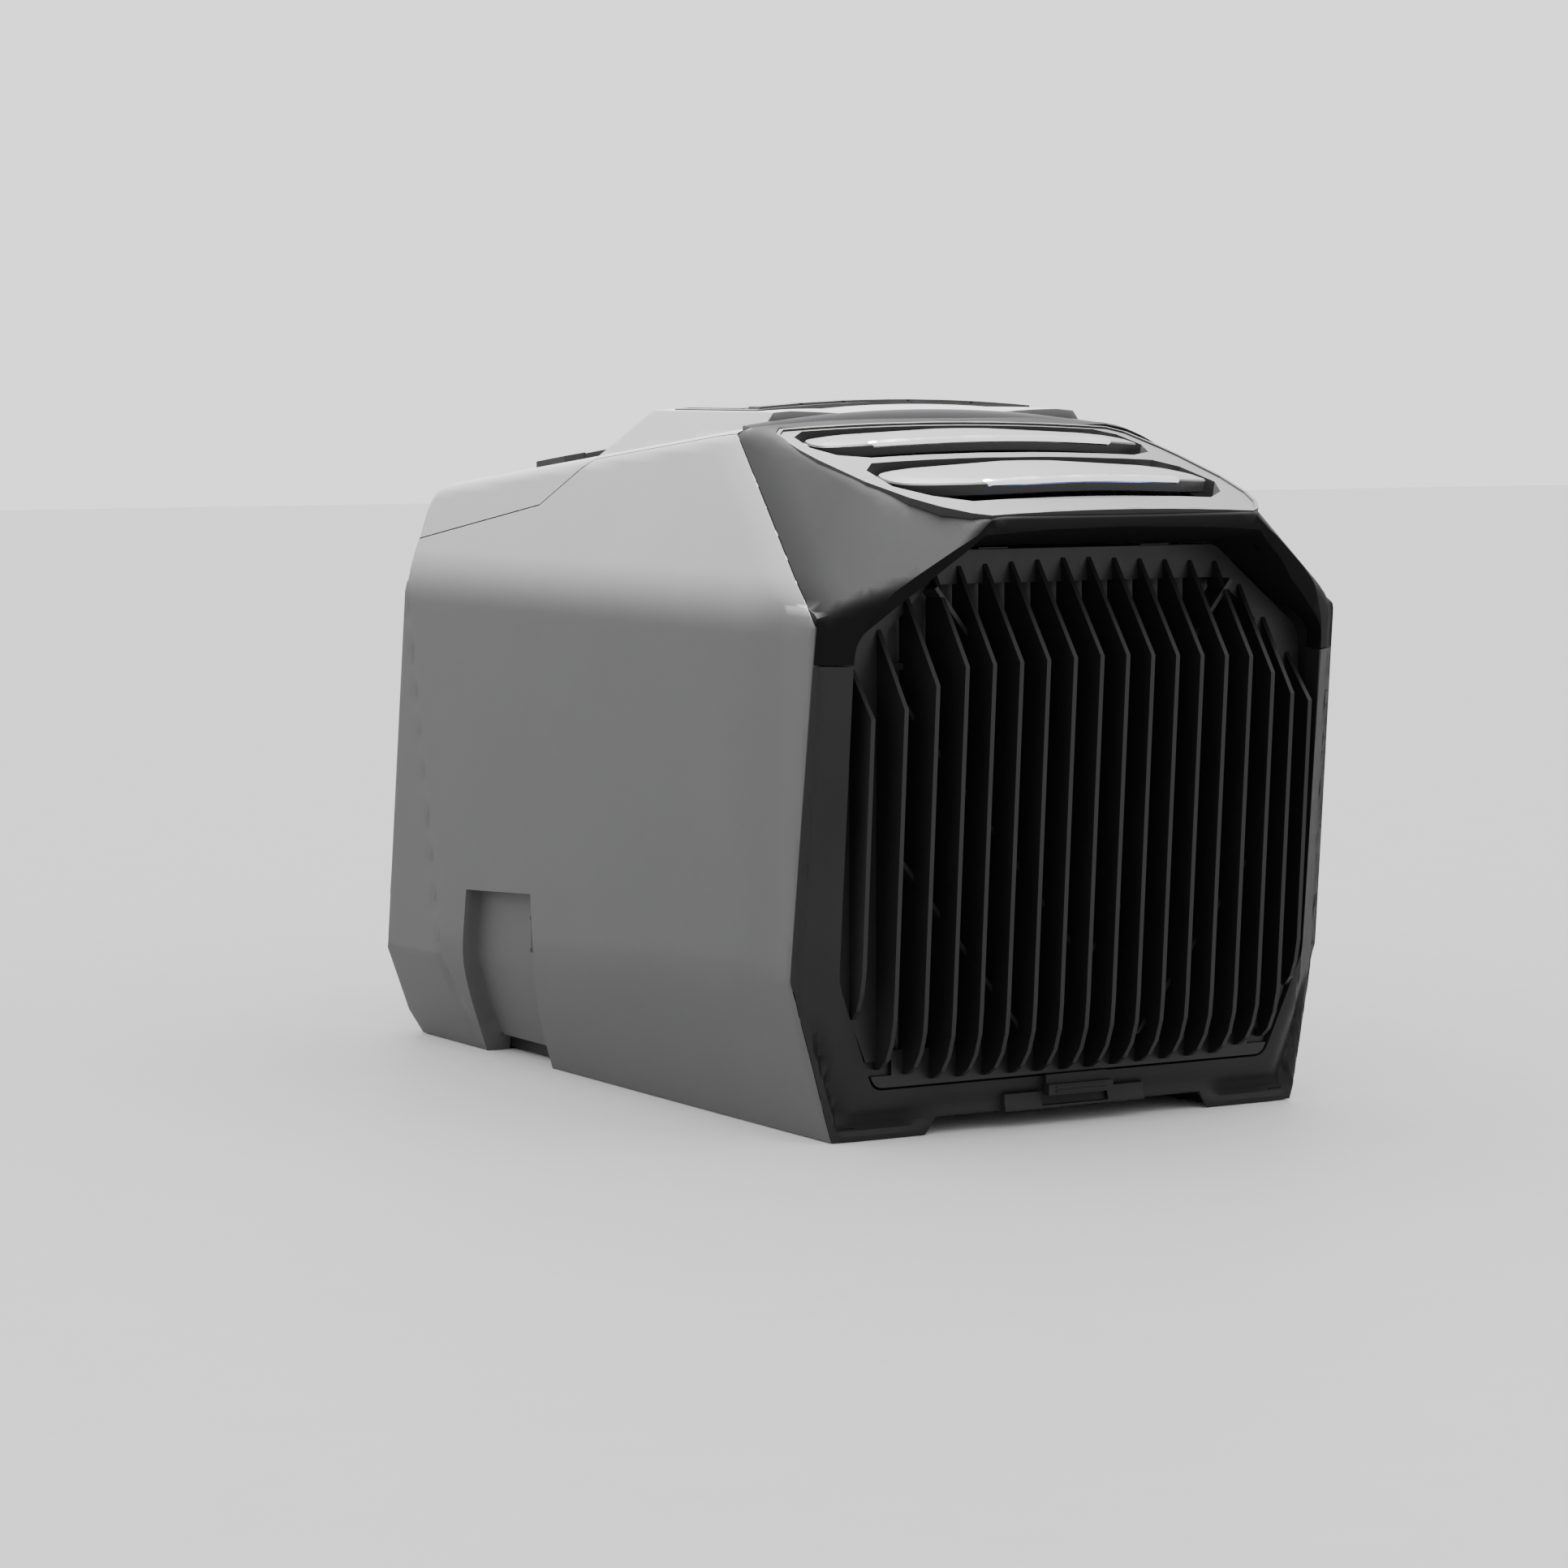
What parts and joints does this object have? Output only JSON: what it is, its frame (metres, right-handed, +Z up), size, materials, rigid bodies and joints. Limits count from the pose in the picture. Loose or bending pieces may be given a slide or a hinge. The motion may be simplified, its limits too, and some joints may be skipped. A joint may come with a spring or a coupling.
{
  "type": "portable air conditioner",
  "caption": "Portable faceted air conditioner with a ribbed front intake that tilts out, two tilting top louvres, a key row on the roof and two round duct ports at the rear.",
  "frame": {"origin": "middle of the underside, centred on the overall width and length, at floor level", "axes": "+Z up, -Y towards the front intake grille, +Y towards the rear duct ports, +X to the right seen from the front"},
  "size_m": [0.2968, 0.518, 0.336],
  "materials": {
    "shell_grey": "fine satin texture",
    "hood_graphite": "fine satin texture",
    "deck_grey": "satin",
    "frame_black": "fine matt texture",
    "grille_black": "matt",
    "louvre_grey": "satin",
    "trim_bright": "bright satin",
    "band_gloss": "glossy",
    "key_dark": "satin",
    "display_gloss": "glossy",
    "light_strip": "milky",
    "rubber_black": "matt",
    "coil_aluminium": "fine fins",
    "steel_black": "semi gloss",
    "copper": "bright drawn",
    "steel_zinc": "zinc plated",
    "board_green": "solder mask",
    "filter_dark": "woven mesh",
    "white_plastic": "satin"
  },
  "bodies": {
    "casing": {"right_side_panel": "shell_grey", "left_side_panel": "shell_grey", "rear_top_cover": "shell_grey", "right_battery_catch": "frame_black", "left_battery_catch": "frame_black", "front_hood": "hood_graphite", "front_frame": "frame_black", "rear_vent_ribs": "frame_black", "outlet_panel": "deck_grey", "louvre_pins": "steel_zinc", "upper_guide_vanes": "grille_black", "lower_guide_vanes": "grille_black", "status_light_strip": "light_strip", "control_band": "band_gloss", "control_base": "key_dark", "display_lens": "display_gloss", "rear_panel": "frame_black", "duct_housing": "frame_black", "right_duct_guard": "grille_black", "left_duct_guard": "grille_black", "mains_inlet": "grille_black", "dc_socket": "grille_black", "drain_spout": "grille_black", "base_pan": "frame_black", "foot_pads": "rubber_black", "compressor": "steel_black", "accumulator": "steel_black", "compressor_mounts": "rubber_black", "evaporator_coil": "coil_aluminium", "condenser_coil": "coil_aluminium", "evaporator_motor": "steel_zinc", "condenser_motor": "steel_zinc", "refrigerant_pipes": "copper", "control_board": "board_green", "bulkhead": "white_plastic", "battery_connector": "grille_black", "water_pump": "white_plastic", "casing_screws": "steel_zinc"},
    "grille": {"intake_grille": "grille_black", "filter_frame": "grille_black", "filter_mesh": "filter_dark"},
    "latch": {"grille_latch": "frame_black"},
    "upper_louvre": {"upper_louvre": "louvre_grey", "upper_louvre_trim": "trim_bright"},
    "lower_louvre": {"lower_louvre": "louvre_grey", "lower_louvre_trim": "trim_bright"},
    "port_flap": {"port_flap": "rubber_black"},
    "drain_plug": {"drain_plug": "rubber_black"},
    "evaporator_blower": {"evaporator_blower": "white_plastic"},
    "condenser_fan": {"condenser_fan": "grille_black"},
    "key_1": {"key_1": "key_dark"},
    "key_2": {"key_2": "key_dark"},
    "key_3": {"key_3": "key_dark"},
    "key_4": {"key_4": "key_dark"},
    "key_5": {"key_5": "key_dark"}
  },
  "joints": [
    {"name": "grille_tilt", "type": "hinge", "parent": "casing", "child": "grille", "pos_m": [0, -0.2146, 0.266], "axis": [-1, 0, 0], "range_deg": [0, 20]},
    {"name": "latch_press", "type": "slide", "parent": "casing", "child": "latch", "axis": [0, 0, -1], "range_m": [0, 0.0044], "stiffness_N_per_m": 300, "springref_m": -0.002},
    {"name": "upper_louvre_tilt", "type": "hinge", "parent": "casing", "child": "upper_louvre", "pos_m": [0, -0.11443, 0.31375], "axis": [-1, 0, 0], "range_deg": [-8, 13]},
    {"name": "lower_louvre_tilt", "type": "hinge", "parent": "casing", "child": "lower_louvre", "pos_m": [0, -0.17162, 0.29923], "axis": [-1, 0, 0], "range_deg": [-7, 18]},
    {"name": "port_flap_hinge", "type": "hinge", "parent": "casing", "child": "port_flap", "pos_m": [0.059, 0.2169, 0.0372], "axis": [-1, 0, 0], "range_deg": [0, 110]},
    {"name": "drain_plug_pull", "type": "slide", "parent": "casing", "child": "drain_plug", "axis": [0, 1, 0], "range_m": [0, 0.018]},
    {"name": "evaporator_blower_spin", "type": "hinge", "parent": "casing", "child": "evaporator_blower", "pos_m": [0, -0.125, 0.165], "axis": [0, 1, 0], "continuous": true},
    {"name": "condenser_fan_spin", "type": "hinge", "parent": "casing", "child": "condenser_fan", "pos_m": [0.03, 0.112, 0.15], "axis": [0, 1, 0], "continuous": true},
    {"name": "key_1_press", "type": "slide", "parent": "casing", "child": "key_1", "axis": [0, 0, -1], "range_m": [0, 0.0008], "stiffness_N_per_m": 500, "springref_m": -0.0006},
    {"name": "key_2_press", "type": "slide", "parent": "casing", "child": "key_2", "axis": [0, 0, -1], "range_m": [0, 0.0008], "stiffness_N_per_m": 500, "springref_m": -0.0006},
    {"name": "key_3_press", "type": "slide", "parent": "casing", "child": "key_3", "axis": [0, 0, -1], "range_m": [0, 0.0008], "stiffness_N_per_m": 500, "springref_m": -0.0006},
    {"name": "key_4_press", "type": "slide", "parent": "casing", "child": "key_4", "axis": [0, 0, -1], "range_m": [0, 0.0008], "stiffness_N_per_m": 500, "springref_m": -0.0006},
    {"name": "key_5_press", "type": "slide", "parent": "casing", "child": "key_5", "axis": [0, 0, -1], "range_m": [0, 0.0008], "stiffness_N_per_m": 500, "springref_m": -0.0006}
  ]
}
